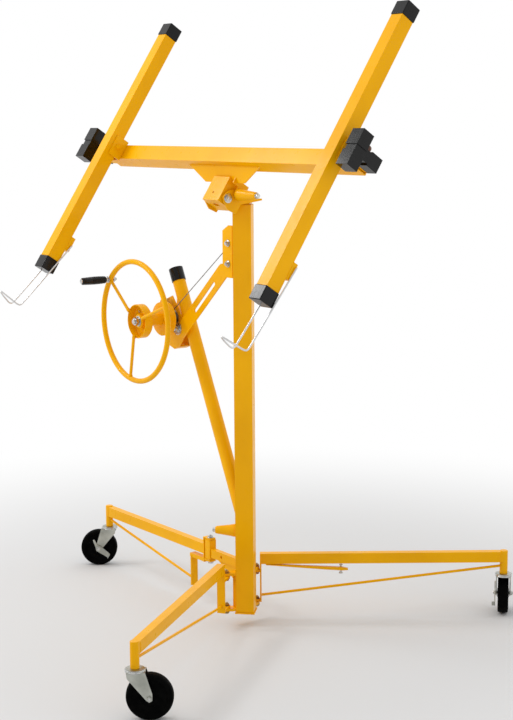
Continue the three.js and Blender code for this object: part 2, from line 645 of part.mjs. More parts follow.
const ARM_HALF = ARM_SIDE / 2;
const CAP_OUT = 2.2; // how far a cap stands proud of its tube
const PLUG_LENGTH = 30;
const armEnds = { lower: -ARM_DOWN, upper: ARM_UP };
const tubeEnd = (end) => armEnds[end] - Math.sign(armEnds[end]) * CAP_LENGTH;

// A square bar centred on the Y axis.
function barAlongY(half, from, to) {
  return box(-half, half, Math.min(from, to), Math.max(from, to), -half, half);
}

// Cross arm with the clip block that its hook swings on.
function armTube(pivotS) {
  const [low, high] = [tubeEnd("lower"), tubeEnd("upper")];
  const tube = cut(barAlongY(ARM_HALF, low, high), barAlongY(ARM_HALF - ARM_WALL, low - 1, high + 1));
  const clip = box(-24, 24, -378, -330, -ARM_HALF - 14, -ARM_HALF + 1);
  const reach = HOOK_INSIDE - GAP;
  const boss = bar([-reach, pivotS, HOOK_PIVOT_N], [reach, pivotS, HOOK_PIVOT_N], 4, 12);
  return join(tube, clip, boss);
}

// Cap over the end of an arm, with a plug that goes into the tube.
function armCap(end) {
  const outward = Math.sign(armEnds[end]);
  const mouth = tubeEnd(end) + outward * GAP;
  const head = barAlongY(ARM_HALF + CAP_OUT, mouth, armEnds[end]);
  return join(head, barAlongY(ARM_HALF - ARM_WALL - GAP, mouth - outward * PLUG_LENGTH, mouth + outward));
}

// Channel that carries an arm on the crossbar.
function saddle() {
  const base = -ARM_RISE + CROSSBAR_SIDE / 2 + GAP;
  return cut(box(-ARM_HALF - 4, ARM_HALF + 4, -34, 34, base, 6),
    box(-ARM_HALF - GAP, ARM_HALF + GAP, -40, 40, -ARM_HALF - GAP, 10),
    box(-ARM_HALF + 1, ARM_HALF - 1, -40, 40, base + 4, -ARM_HALF));
}

// Wire hook that holds a sheet's lower edge: two straight runs, turned up into a narrow lip.
function hookWire() {
  const run = [
    [HOOK_X, 0, 0], [HOOK_X, -90, 0], [HOOK_X, -180, 0], [HOOK_X, -236, 0.5], [HOOK_X, -254, 2],
    [HOOK_X - 1, -261, 10], [HOOK_X - 8, -263, 32], [HOOK_X - 18, -264, 56],
  ];
  const back = run.map(([x, y, z]) => [-x, y, z]).reverse();
  return wire([...run, [0, -264, 70], ...back], HOOK_D, 64, 6);
}

// Padded rest at an outrigger's end: a cap over the tube, a neck and a block level with the arms' faces.
function outriggerPad(side, padX) {
  const top = ARM_RISE + ARM_HALF;
  const half = PAD_WIDTH / 2;
  const [x0, x1] = [padX - side * PAD_CAP_IN, padX + side * 9].sort((a, b) => a - b);
  const blocks = [[-PAD_LENGTH / 2, -8], [8, PAD_LENGTH / 2]].map(([y0, y1]) =>
    box(padX - half, padX + half, y0 + PAD_SHIFT, y1 + PAD_SHIFT, top - PAD_DEPTH, top));
  return join(
    ...blocks,
    box(padX - half + 3, padX + half - 3, -10 + PAD_SHIFT, 10 + PAD_SHIFT, top - PAD_DEPTH, top - 3),
    box(x0, x1, -16, 16, 18, top - PAD_DEPTH + 1),
    box(x0, x1, -OUTRIGGER_CAP_HALF, OUTRIGGER_CAP_HALF, -OUTRIGGER_CAP_HALF, OUTRIGGER_CAP_HALF),
  );
}

for (const [name, side] of [["left", -1], ["right", 1]]) {
  const arm = new THREE.Group();
  arm.position.set(side * ARM_X, CROSSBAR_S, CROSSBAR_N + ARM_RISE);
  cradle.add(arm);
  mesh(`${name}_arm`, armTube(HOOK_PIVOT_S[name]), paint, arm);
  mesh(`${name}_arm_lower_cap`, armCap("lower"), black, arm);
  mesh(`${name}_arm_upper_cap`, armCap("upper"), black, arm);
  mesh(`${name}_saddle`, saddle(), paint, arm);

  const hook = new THREE.Group();
  hook.position.set(0, HOOK_PIVOT_S[name], HOOK_PIVOT_N);
  hook.rotation.x = -radians(HOOK_SLOPE + HOOK_SWING[name]);
  arm.add(hook);
  mesh(`${name}_hook`, hookWire(), bright, hook);

  const outrigger = new THREE.Group();
  outrigger.position.set(0, CROSSBAR_S, CROSSBAR_N);
  cradle.add(outrigger);
  const padX = side * PAD_X[name];
  const outerEnd = padX - side * (PAD_CAP_IN + GAP);
  const [x0, x1] = [side * OUTRIGGER_INNER_X, outerEnd].sort((a, b) => a - b);
  mesh(`${name}_outrigger`, squareTube(OUTRIGGER_SIDE, 3, x0, x1, 0, 0), paint, outrigger);
  mesh(`${name}_outrigger_pad`, outriggerPad(side, padX), black, outrigger);
}

// ---- origin -----------------------------------------------------------------------------------

lift.updateMatrixWorld(true);
const bounds = new THREE.Box3().setFromObject(lift, true);
const centre = bounds.getCenter(new THREE.Vector3());
lift.position.set(-centre.x, -centre.y, -bounds.min.z);

export default lift;
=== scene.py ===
"""Looks of the drywall lift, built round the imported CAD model. Metres, +Z up, in the model's own frame."""

import json
import math

import bmesh
import bpy
from mathutils import Matrix, Vector


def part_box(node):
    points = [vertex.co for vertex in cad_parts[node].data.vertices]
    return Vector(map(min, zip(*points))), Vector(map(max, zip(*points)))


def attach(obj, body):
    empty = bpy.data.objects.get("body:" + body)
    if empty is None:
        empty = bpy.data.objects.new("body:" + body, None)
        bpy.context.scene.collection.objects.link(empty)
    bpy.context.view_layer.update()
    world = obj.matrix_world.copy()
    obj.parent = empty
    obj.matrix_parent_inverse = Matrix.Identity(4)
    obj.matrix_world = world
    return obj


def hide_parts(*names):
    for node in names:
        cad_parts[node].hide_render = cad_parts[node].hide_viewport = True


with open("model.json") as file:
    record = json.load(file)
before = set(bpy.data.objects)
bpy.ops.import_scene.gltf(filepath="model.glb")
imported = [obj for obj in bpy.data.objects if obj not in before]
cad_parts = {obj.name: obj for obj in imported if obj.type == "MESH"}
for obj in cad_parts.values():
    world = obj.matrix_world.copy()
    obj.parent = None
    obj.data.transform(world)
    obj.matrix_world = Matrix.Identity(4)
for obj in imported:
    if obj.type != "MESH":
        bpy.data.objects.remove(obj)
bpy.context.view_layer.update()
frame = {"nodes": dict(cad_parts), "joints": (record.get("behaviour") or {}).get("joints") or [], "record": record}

# ---- places taken from the frame ---------------------------------------------------------------

MM = 0.001
MAST_SIDE = 0.056
mast_low, mast_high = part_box("mast_outer")
MAST = Vector((mast_high.x - MAST_SIDE / math.sqrt(2), (mast_low.y + mast_high.y) / 2, 0))
JOINTS = {joint["name"]: joint for joint in frame["joints"]}
BODY_OF = {node: body for body, nodes in frame["record"]["behaviour"]["bodies"].items() for node in nodes}


def from_mast(x, y, z):
    """A point given in millimetres from the mast's axis at the floor."""
    return MAST + Vector((x, y, z)) * MM


def joint_place(name):
    """Where a joint stands at rest."""
    return Vector(JOINTS[name]["pos_m"])


def joint_axis(name):
    """The direction of a joint's axis, one long."""
    return Vector(JOINTS[name]["axis"]).normalized()


# ---- materials ---------------------------------------------------------------------------------

NOISE_SPAN = (0.3, 0.7)
SHADE_STOPS = (0.35, 0.65)


class Shader:
    """One procedural material: a Principled shader with a few texture nodes in object coordinates."""

    def __init__(self, name, color, rough, metal=0.0):
        self.material = bpy.data.materials.new(name)
        self.material.use_nodes = True
        self.tree = self.material.node_tree
        self.surface = self.tree.nodes["Principled BSDF"]
        self.surface.inputs["Base Color"].default_value = (*color, 1)
        self.surface.inputs["Roughness"].default_value = rough
        self.surface.inputs["Metallic"].default_value = metal
        self.place = self.tree.nodes.new("ShaderNodeTexCoord").outputs["Object"]

    def set(self, **values):
        for name, value in values.items():
            self.surface.inputs[name.replace("_", " ")].default_value = value

    def link(self, output, target):
        self.tree.links.new(output, target)

    def noise(self, scale, detail):
        texture = self.tree.nodes.new("ShaderNodeTexNoise")
        texture.inputs["Scale"].default_value = scale
        texture.inputs["Detail"].default_value = detail
        self.link(self.place, texture.inputs["Vector"])
        return texture.outputs["Fac"]

    def mottle(self, scale, dark, light, detail):
        """Lets the colour wander between two shades."""
        shades = self.tree.nodes.new("ShaderNodeValToRGB")
        for element, position, color in zip(shades.color_ramp.elements, SHADE_STOPS, (dark, light)):
            element.position = position
            element.color = (*color, 1)
        self.link(self.noise(scale, detail), shades.inputs["Fac"])
        self.link(shades.outputs["Color"], self.surface.inputs["Base Color"])

    def uneven(self, scale, low, high, detail):
        """Lets the roughness wander between two values."""
        span = self.tree.nodes.new("ShaderNodeMapRange")
        span.inputs["From Min"].default_value = NOISE_SPAN[0]
        span.inputs["From Max"].default_value = NOISE_SPAN[1]
        span.inputs["To Min"].default_value = low
        span.inputs["To Max"].default_value = high
        self.link(self.noise(scale, detail), span.inputs["Value"])
        self.link(span.outputs["Result"], self.surface.inputs["Roughness"])
        return self

    def grain(self, scale, distance, strength, detail):
        """Adds a fine bump on top of any bump that is there."""
        bump = self.tree.nodes.new("ShaderNodeBump")
        bump.inputs["Strength"].default_value = strength
        bump.inputs["Distance"].default_value = distance
        self.link(self.noise(scale, detail), bump.inputs["Height"])
        last = self.surface.inputs["Normal"]
        if last.is_linked:
            self.link(last.links[0].from_socket, bump.inputs["Normal"])
        self.link(bump.outputs["Normal"], last)
        return self


def make_paint():
    shader = Shader("yellow_enamel", (0.93, 0.45, 0.0), 0.3)
    shader.set(Coat_Weight=0.08, Coat_Roughness=0.08, Specular_IOR_Level=0.08)
    shader.mottle(7, (0.88, 0.415, 0.0), (0.95, 0.465, 0.0), detail=5)
    shader.uneven(40, 0.26, 0.38, detail=4)
    shader.grain(700, 0.00006, 0.5, detail=2)
    return shader.grain(60, 0.00025, 0.35, detail=2).material


def make_plastic():
    shader = Shader("black_plastic", (0.004, 0.004, 0.0045), 0.3)
    shader.set(Specular_IOR_Level=0.12, Coat_Weight=0.35, Coat_Roughness=0.12)
    shader.mottle(30, (0.001, 0.001, 0.001), (0.003, 0.003, 0.0032), detail=5)
    shader.uneven(120, 0.16, 0.3, detail=4)
    return shader.grain(1600, 0.00003, 0.3, detail=2).material


def make_rubber():
    shader = Shader("tyre_rubber", (0.004, 0.004, 0.004), 0.5)
    shader.set(Specular_IOR_Level=0.02)
    shader.mottle(60, (0.001, 0.001, 0.001), (0.003, 0.003, 0.0028), detail=6)
    shader.uneven(90, 0.42, 0.6, detail=5)
    return shader.grain(900, 0.0001, 0.5, detail=3).material


def make_zinc():
    shader = Shader("zinc_plate", (0.45, 0.46, 0.42), 0.36, 1.0)
    shader.mottle(26, (0.36, 0.37, 0.33), (0.52, 0.53, 0.48), detail=7)
    shader.uneven(70, 0.28, 0.48, detail=6)
    return shader.grain(450, 0.00008, 0.5, detail=4).material


def make_steel():
    shader = Shader("bright_steel", (0.6, 0.6, 0.59), 0.2, 1.0)
    shader.mottle(90, (0.48, 0.48, 0.47), (0.68, 0.68, 0.66), detail=5)
    shader.uneven(160, 0.14, 0.3, detail=5)
    return shader.grain(900, 0.00004, 0.4, detail=3).material


def make_wire():
    shader = Shader("plated_wire", (0.74, 0.74, 0.74), 0.22, 1.0)
    shader.mottle(40, (0.68, 0.68, 0.68), (0.78, 0.78, 0.78), detail=2)
    return shader.uneven(60, 0.26, 0.34, detail=2).material


def make_cable():
    shader = Shader("cable_strands", (0.3, 0.3, 0.3), 0.4, 1.0)
    shader.mottle(200, (0.2, 0.2, 0.2), (0.38, 0.38, 0.37), detail=5)
    return shader.uneven(300, 0.32, 0.5, detail=4).material


def make_passivated():
    shader = Shader("passivated_steel", (0.42, 0.29, 0.1), 0.34, 1.0)
    shader.mottle(80, (0.32, 0.2, 0.06), (0.52, 0.38, 0.16), detail=5)
    return shader.uneven(120, 0.26, 0.44, detail=4).material


def make_knob_brown():
    shader = Shader("knob_brown", (0.12, 0.035, 0.008), 0.4)
    shader.mottle(80, (0.08, 0.022, 0.005), (0.16, 0.05, 0.012), detail=5)
    return shader.uneven(120, 0.32, 0.5, detail=4).material


PAINT = make_paint()
PLASTIC = make_plastic()
RUBBER = make_rubber()
ZINC = make_zinc()
STEEL = make_steel()
WIRE = make_wire()
CABLE = make_cable()
PASSIVATED = make_passivated()
BROWN = make_knob_brown()
LOOK_OF_SLOT = {
    "yellow_paint": PAINT, "black_plastic": PLASTIC, "tyre": RUBBER, "zinc": ZINC,
    "bright_steel": STEEL, "wire": WIRE, "cable_steel": CABLE,
}
SLOT_OF = {part["node"]: part["material_slot"] for part in frame["record"]["subparts"]}

# ---- shapes --------------------------------------------------------------------------------------


HEX_SIDES = 36
HEX_CHAMFER = 0.12
HEX_END = 0.88
THREAD_SIDES = 20
THREAD_PITCH = 1.6
THREAD_ROOT = 0.9
THREAD_TIP = 0.8
WELD_STEP = 0.6
WELD_RIPPLE = 0.3
WELD_SIDES = 10


def axis_frame(axis):
    """The axis, one long, and two directions square to it and to each other."""
    axis = Vector(axis).normalized()
    u = axis.orthogonal().normalized()
    return axis, u, axis.cross(u)


def full_turn(sides):
    """Equal angles once round."""
    return [2 * math.pi * step / sides for step in range(sides)]


class Shape:
    """Vertices and faces of one piece, collected from simple closed forms, in metres."""

    def __init__(self):
        self.points = []
        self.faces = []

    def add(self, points, faces):
        start = len(self.points)
        self.points += [tuple(point) for point in points]
        self.faces += [[start + index for index in face] for face in faces]
        return self

    def sweep(self, rings, closed=False):
        """Joins rings of equally many points. An open run is capped at both ends."""
        count = len(rings[0])
        points = [point for ring in rings for point in ring]
        runs = len(rings) if closed else len(rings) - 1
        faces = []
        for run in range(runs):
            here, there = run * count, (run + 1) % len(rings) * count
            for side in range(count):
                step = (side + 1) % count
                faces.append([here + side, here + step, there + step, there + side])
        if not closed:
            faces.append(list(range(count))[::-1])
            faces.append([(len(rings) - 1) * count + side for side in range(count)])
        return self.add(points, faces)

    def tube(self, path, radius, sides=16, closed=False):
        """A round bar along a path. radius is one number, or one for each point."""
        path = [Vector(point) for point in path]
        radii = radius if isinstance(radius, (list, tuple)) else [radius] * len(path)
        last = len(path) - 1
        side = None
        rings = []
        for index, point in enumerate(path):
            before = path[index - 1] if index or closed else path[0]
            after = path[(index + 1) % len(path)] if index < last or closed else path[last]
            along = (after - before).normalized()
            if side is None:
                side = along.orthogonal().normalized()
            side = (side - along * side.dot(along)).normalized()
            up = along.cross(side)
            rings.append([
                point + (side * math.cos(turn) + up * math.sin(turn)) * radii[index]
                for turn in full_turn(sides)
            ])
        return self.sweep(rings, closed)

    def lathe(self, profile, origin, axis, sides=96):
        """A turned form. Its closed profile is given as (radius, height along the axis) in millimetres."""
        axis, u, v = axis_frame(axis)
        rings = []
        for turn in full_turn(sides):
            out = u * math.cos(turn) + v * math.sin(turn)
            rings.append([origin + (out * radius + axis * height) * MM for radius, height in profile])
        return self.sweep(rings, closed=True)

    def disc(self, origin, axis, radius, low, high, sides=48, edge=0.6):
        """A solid disc with eased edges, in millimetres along the axis."""
        axis, u, v = axis_frame(axis)
        profile = [(radius - edge, low), (radius, low + edge), (radius, high - edge), (radius - edge, high)]
        rings = []
        for size, height in profile:
            point = origin + axis * height * MM
            rings.append([
                point + (u * math.cos(turn) + v * math.sin(turn)) * size * MM for turn in full_turn(sides)
            ])
        return self.sweep(rings)

    def hexagon(self, origin, axis, radius, low, high):
        """A hexagonal head or nut: six flats, with both ends chamfered to a circle."""
        axis, u, v = axis_frame(axis)
        chamfer = HEX_CHAMFER * radius
        rings = []
        for height, cap in ((low, HEX_END), (low + chamfer, 1), (high - chamfer, 1), (high, HEX_END)):
            ring = []
            for turn in full_turn(HEX_SIDES):
                flat = math.cos(math.pi / 6) / math.cos((turn % (math.pi / 3)) - math.pi / 6)
                reach = min(flat, cap) * radius
                out = (u * math.cos(turn) + v * math.sin(turn)) * reach * MM
                ring.append(origin + out + axis * height * MM)
            rings.append(ring)
        return self.sweep(rings)

    def thread(self, origin, axis, radius, low, high):
        """A threaded end: fine rings with a narrower tip."""
        axis, u, v = axis_frame(axis)
        turns = max(2, int(abs(high - low) / THREAD_PITCH))
        heights = [low + (high - low) * step / (2 * turns) for step in range(2 * turns + 1)]
        rings = []
        for index, height in enumerate(heights):
            reach = radius * (THREAD_ROOT if index % 2 else 1)
            if index == len(heights) - 1:
                reach *= THREAD_TIP
            rings.append([
                origin + (u * math.cos(turn) + v * math.sin(turn)) * reach * MM + axis * height * MM
                for turn in full_turn(THREAD_SIDES)
            ])
        return self.sweep(rings)

    def slab(self, outline, origin, u, v, low, high):
        """A flat plate: outline points are (along u, along v), thick from low to high across them, in mm."""
        across = u.cross(v)
        rings = [
            [origin + (u * a + v * b + across * height) * MM for a, b in outline] for height in (low, high)
        ]
        return self.sweep(rings)

    def weld(self, path, radius):
        """A weld bead: a bar whose thickness ripples along a path and drops to half at its ends."""
        path = [Vector(point) for point in path]
        points = []
        for start, end in zip(path, path[1:]):
            steps = max(2, int((end - start).length / (radius * MM * WELD_STEP)))
            points += [start.lerp(end, step / steps) for step in range(steps)]
        points.append(path[-1])
        radii = []
        for index in range(len(points)):
            ripple = WELD_RIPPLE * math.sin(index * 1.9) * math.sin(index * 0.37 + 1)
            radii.append(radius * MM * (1 + ripple))
        radii[0] *= 0.5
        radii[-1] *= 0.5
        return self.tube(points, radii, WELD_SIDES)


SMOOTH_ANGLE = math.radians(32)
FLAT_ANGLE = math.radians(1)
MERGE_DISTANCE = 1e-5
SOFT_SEGMENTS = 3
PIECE_SEGMENTS = 2


def finish_mesh(built, bevel, segments):
    """Rounds the edges by a bevel and shades what is round smoothly."""
    for polygon in built.data.polygons:
        polygon.use_smooth = True
    if bevel:
        modifier = built.modifiers.new("soft edges", "BEVEL")
        modifier.width = bevel
        modifier.segments = segments
        modifier.limit_method = "ANGLE"
        modifier.angle_limit = SMOOTH_ANGLE
        modifier.harden_normals = False
    bpy.context.view_layer.update()
    made = bmesh.new()
    made.from_mesh(built.data)
    for edge in made.edges:
        edge.smooth = bool(bevel) or (len(edge.link_faces) == 2 and edge.calc_face_angle(0) < SMOOTH_ANGLE)
    made.to_mesh(built.data)
    made.free()
    if bevel:
        modifier = built.modifiers.new("even normals", "WEIGHTED_NORMAL")
        modifier.keep_sharp = True


def softened(node, bevel):
    """A refined stand-in for one CAD node: its own surface, with its edges rounded."""
    mesh = frame["nodes"][node].data.copy()
    built = bpy.data.objects.new(f"{node}_body", mesh)
    bpy.context.scene.collection.objects.link(built)
    made = bmesh.new()
    made.from_mesh(mesh)
    bmesh.ops.remove_doubles(made, verts=made.verts, dist=MERGE_DISTANCE)
    bmesh.ops.dissolve_limit(made, angle_limit=FLAT_ANGLE, verts=made.verts, edges=made.edges)
    made.to_mesh(mesh)
    made.free()
    mesh.materials.clear()
    mesh.materials.append(LOOK_OF_SLOT[SLOT_OF[node]])
    finish_mesh(built, bevel, SOFT_SEGMENTS)
    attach(built, BODY_OF[node])
    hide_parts(node)


def piece(name, shape, node, look=None, bevel=0.0, slot=None, replaces=True):
    """A piece made from a Shape. It rides the body of its CAD node, and stands for it unless told not to."""
    mesh = bpy.data.meshes.new(name)
    mesh.from_pydata(shape.points, [], shape.faces)
    made = bmesh.new()
    made.from_mesh(mesh)
    bmesh.ops.recalc_face_normals(made, faces=made.faces)
    made.to_mesh(mesh)
    made.free()
    built = bpy.data.objects.new(name, mesh)
    bpy.context.scene.collection.objects.link(built)
    slot = slot or SLOT_OF[node]
    mesh.materials.append(look or LOOK_OF_SLOT[slot])
    finish_mesh(built, bevel, PIECE_SEGMENTS)
    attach(built, BODY_OF[node])
    if replaces:
        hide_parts(node)


# ---- places the pieces share ---------------------------------------------------------------------

Y_AXIS = Vector((0, 1, 0))
Z_AXIS = Vector((0, 0, 1))
X_AXIS = Vector((1, 0, 0))
WINCH = joint_place("wheel_turn")
SHEAVE = joint_place("sheave_turn")
WINCH.y = SHEAVE.y = MAST.y
TILT_PIVOT = joint_place("cradle_tilt")
TILT_PIVOT.x = MAST.x
TILT = math.radians(56.66)
CRADLE_TURN = Matrix.Rotation(TILT, 3, "X")
ALONG_CRADLE = CRADLE_TURN @ Y_AXIS
CROSSBAR_S = 114.5
ARM_X = 571.6
BOLT_SHANK = 5
BOLT_HEAD = 8.5
BEAD = 1.8
EASE = 0.0008


def on_cradle(x, s, n):
    """A point given in millimetres in the cradle's frame, whose origin is the tilt axis."""
    return TILT_PIVOT + CRADLE_TURN @ Vector((x, s, n)) * MM


def leg_frame(name):
    """Hinge point on the floor, direction along the leg and across it, and the leg's length in mm."""
    pin = joint_place(f"{name}_leg_fold")
    post = joint_place(f"{name}_caster_swivel")
    pin.z = post.z = 0
    along = (post - pin).normalized()
    return pin, along, Z_AXIS.cross(along), (post - pin).length / MM


# ---- winch -----------------------------------------------------------------------------------------

CUP_MOUTH = -168.7
HUB_R = 53.5
SHAFT_R = 8.35
DRUM = (-80, -54)
CUP_FLOOR = CUP_MOUTH + 29
HUB_SCREWS_R = 34
COIL_TURNS = 4
COIL_STEPS = 40
COIL_LAY = 16.6
COIL_LOW = -40.6
COIL_PITCH = 2.8


def wheel_hub():
    shape = Shape().lathe([
        (SHAFT_R, CUP_MOUTH + 7), (21, CUP_MOUTH + 7), (22, CUP_MOUTH + 8), (23, CUP_FLOOR - 6),
        (26, CUP_FLOOR - 4), (46, CUP_FLOOR - 4), (49, CUP_FLOOR - 7), (50, CUP_MOUTH + 1),
        (50.6, CUP_MOUTH), (HUB_R - 0.8, CUP_MOUTH), (HUB_R, CUP_MOUTH + 1), (HUB_R, CUP_FLOOR - 4),
        (HUB_R - 4, CUP_FLOOR), (22, CUP_FLOOR), (19, CUP_FLOOR + 3), (19, DRUM[0] - 0.4),
        (SHAFT_R, DRUM[0] - 0.4),
    ], WINCH, Y_AXIS)
    piece("wheel_hub_cup", shape, "wheel_hub")
    screws = Shape()
    for step in range(4):
        turn = math.radians(35 + 90 * step)
        spot = WINCH + Vector((math.cos(turn), 0, math.sin(turn))) * HUB_SCREWS_R * MM
        screws.hexagon(spot, Y_AXIS, 4.6, CUP_FLOOR - 8, CUP_FLOOR - 3.9)
    piece("wheel_hub_screws", screws, "wheel_hub", slot="bright_steel", replaces=False)


def brake_drum():
    low, high = DRUM
    piece("brake_drum_body", Shape().lathe([
        (SHAFT_R, low), (44, low), (47, low + 1.5), (HUB_R - 3, low + 1.5), (HUB_R, low + 4),
        (HUB_R, low + 10), (HUB_R - 1, low + 11), (HUB_R - 1, high - 5), (HUB_R, high - 4), (HUB_R, high - 1),
        (HUB_R - 1, high), (SHAFT_R, high),
    ], WINCH, Y_AXIS), "brake_drum")


def cable_reel():
    piece("cable_reel_body", Shape().lathe([
        (SHAFT_R, -44.5), (23.4, -44.5), (24, -43.9), (24, -43), (23.4, -42.5), (15, -42.3), (15, -27.7),
        (23.4, -27.5), (24, -27), (24, -26.1), (23.4, -25.5), (SHAFT_R, -25.5),
    ], WINCH, Y_AXIS), "cable_reel")
    coil = []
    for step in range(COIL_TURNS * COIL_STEPS + 1):
        turn = 2 * math.pi * step / COIL_STEPS
        along = COIL_LOW + COIL_PITCH * step / COIL_STEPS
        coil.append(WINCH + Vector((COIL_LAY * math.cos(turn), along, COIL_LAY * math.sin(turn))) * MM)
    piece("cable_coils", Shape().tube(coil, 1.45 * MM, 8), "cable_reel", slot="cable_steel", replaces=False)


RING_R = 188
RING_BAR = 8.5
SPOKES = (19.6, 139.6, 259.6)
GRIP_TURN = math.radians(139.6)
RING_Y = CUP_MOUTH - 5.65
GRIP_START = 18.5
GRIP_LENGTH = 86
GRIP_RIBS = 13


def on_wheel(radius, turn, y):
    """A point given by radius, turn and height along the winch's axis."""
    return WINCH + Vector((radius * math.cos(turn), y, radius * math.sin(turn))) * MM


def hand_wheel():
    rim = [on_wheel(RING_R, turn, RING_Y) for turn in full_turn(120)]
    shape = Shape().tube(rim, RING_BAR * MM, 20, closed=True)
    for spoke in SPOKES:
        turn = math.radians(spoke)
        shape.tube([on_wheel(44.5, turn, RING_Y), on_wheel(RING_R - 3, turn, RING_Y)], 5 * MM, 20)
        flare = [on_wheel(RING_R - reach, turn, RING_Y) for reach in (6, 10, 14)]
        shape.tube(flare, [7.2 * MM, 6.4 * MM, 5.1 * MM], 20)
        root = [on_wheel(reach, turn, RING_Y + 0.5) for reach in (50.5, 53.5, 57)]
        shape.tube(root, [5.6 * MM, 6.2 * MM, 5.1 * MM], 16)
    piece("hand_wheel_rim", shape, "hand_wheel")
    pin = on_wheel(RING_R, GRIP_TURN, RING_Y)
    bolt = Shape()
    bolt.hexagon(pin, Y_AXIS, 9, 8.6, 15)
    bolt.thread(pin, Y_AXIS, 5, 14.5, 22)
    bolt.disc(pin, Y_AXIS, 11, -10.4, -8.6)
    bolt.hexagon(pin, Y_AXIS, 9, -17.6, -10.6)
    bolt.disc(pin, Y_AXIS, 4.9, -GRIP_START - GRIP_LENGTH - 3, -8, edge=0.4)
    bolt.disc(pin, Y_AXIS, 7.5, -GRIP_START - GRIP_LENGTH - 4, -GRIP_START - GRIP_LENGTH - 0.4)
    piece("grip_pin", bolt, "hand_wheel", slot="bright_steel", replaces=False)


def wheel_grip():
    origin = on_wheel(RING_R, GRIP_TURN, RING_Y - GRIP_START)
    profile = [(5.5, 0), (9.5, 0), (10.6, -1.2)]
    for rib in range(GRIP_RIBS):
        height = -6 - 5.6 * rib
        reach = 11.4 + 1.3 * math.sin(math.pi * (rib + 1) / (GRIP_RIBS + 1))
        profile += [(reach, height + 1.8), (reach, height - 1.8)]
        profile += [(reach - 0.5, height - 2.2), (reach - 0.5, height - 3.2)]
    profile += [(11.6, -80), (11.2, -84.6), (10, -GRIP_LENGTH), (5.5, -GRIP_LENGTH)]
    piece("wheel_grip_sleeve", Shape().lathe(profile, origin, Y_AXIS), "wheel_grip")


def winch_shaft():
    shape = Shape()
    shape.disc(WINCH, Y_AXIS, 8, -181, 31)
    shape.disc(WINCH, Y_AXIS, 16.5, -163.9, -162)
    shape.hexagon(WINCH, Y_AXIS, 13.5, -176, -164)
    shape.hexagon(WINCH, Y_AXIS, 13, 25.6, 32)
    shape.thread(WINCH, Y_AXIS, 7.6, 31, 35)
    piece("winch_shaft_bolt", shape, "winch_shaft")


# ---- cable -----------------------------------------------------------------------------------------

CABLE_R = 1.5
SHEAVE_LAY = 13.4 + CABLE_R + 0.25
REEL_LAY = 15 + CABLE_R + 0.4
CABLE_OFF = math.radians(130)
CABLE_FOOT = 120
CABLE_STEP = 3.5
STRANDS = 6
STRAND_LAY = 0.95
STRAND_R = 0.56
STRAND_TWIST = 62


def cable_path():
    """From the reel, over the sheave and down inside the mast."""

    def about(centre, reach, turn, y=0.0):
        return centre + Vector((reach * math.cos(turn), y, reach * math.sin(turn))) * MM

    corners = [about(WINCH, REEL_LAY, CABLE_OFF, -34)]
    corners += [about(SHEAVE, SHEAVE_LAY, CABLE_OFF * (1 - step / 12)) for step in range(13)]
    foot = corners[-1].copy()
    foot.z = CABLE_FOOT * MM
    corners.append(foot)
    points = []
    for start, end in zip(corners, corners[1:]):
        steps = max(1, round((end - start).length / (CABLE_STEP * MM)))
        points += [start.lerp(end, step / steps) for step in range(steps)]
    return points + [corners[-1]]


def lift_cable():
    path = cable_path()
    shape = Shape()
    along = (path[1] - path[0]).normalized()
    side = along.orthogonal().normalized()
    frames = []
    for index, point in enumerate(path):
        if index + 1 < len(path):
            along = (path[index + 1] - point).normalized()
        side = (side - along * side.dot(along)).normalized()
        frames.append((point, side.copy(), along.cross(side)))
    for strand in range(STRANDS):
        lay = []
        for index, (point, side, up) in enumerate(frames):
            turn = math.radians(360 / STRANDS * strand + STRAND_TWIST * index)
            lay.append(point + (side * math.cos(turn) + up * math.sin(turn)) * STRAND_LAY * MM)
        shape.tube(lay, STRAND_R * MM, 5)
    piece("lift_cable_strands", shape, "lift_cable")
    piece("cable_sheave_wheel", Shape().lathe([
        (5.4, -6), (16.4, -6), (17, -5.4), (16.6, -4.4), (13.6, -1.6), (13.4, 0), (13.6, 1.6), (16.6, 4.4),
        (17, 5.4), (16.4, 6), (5.4, 6),
    ], SHEAVE, Y_AXIS), "cable_sheave")


# ---- bolts and pins ----------------------------------------------------------------------------------


def add_bolt(shape, origin, axis, low, high, shank, head, tail):
    """A bolt between two outer faces, with a washer and a hexagon on each side and a threaded end."""
    shape.disc(origin, axis, shank, low - 2, high + 2)
    for sign, face in ((-1, low), (1, high)):
        span = sorted((face, face + sign * 1.5))
        shape.disc(origin, axis, head * 1.28, *span, edge=0.3)
        span = sorted((face + sign * 1.5, face + sign * 7))
        shape.hexagon(origin, axis, head, *span)
    shape.thread(origin, axis, shank * 0.97, high + 6.5, high + 7 + tail)


def cross_bolt(node, origin, axis, low, high, shank=BOLT_SHANK, head=BOLT_HEAD, tail=3):
    shape = Shape()
    add_bolt(shape, origin, axis, low, high, shank, head, tail)
    piece(f"{node}_set", shape, node)


BOLT_FACE = 34.3
LOWER_BOLT = (-32, 1125)
BRACE_BOLT = (-308, 900)


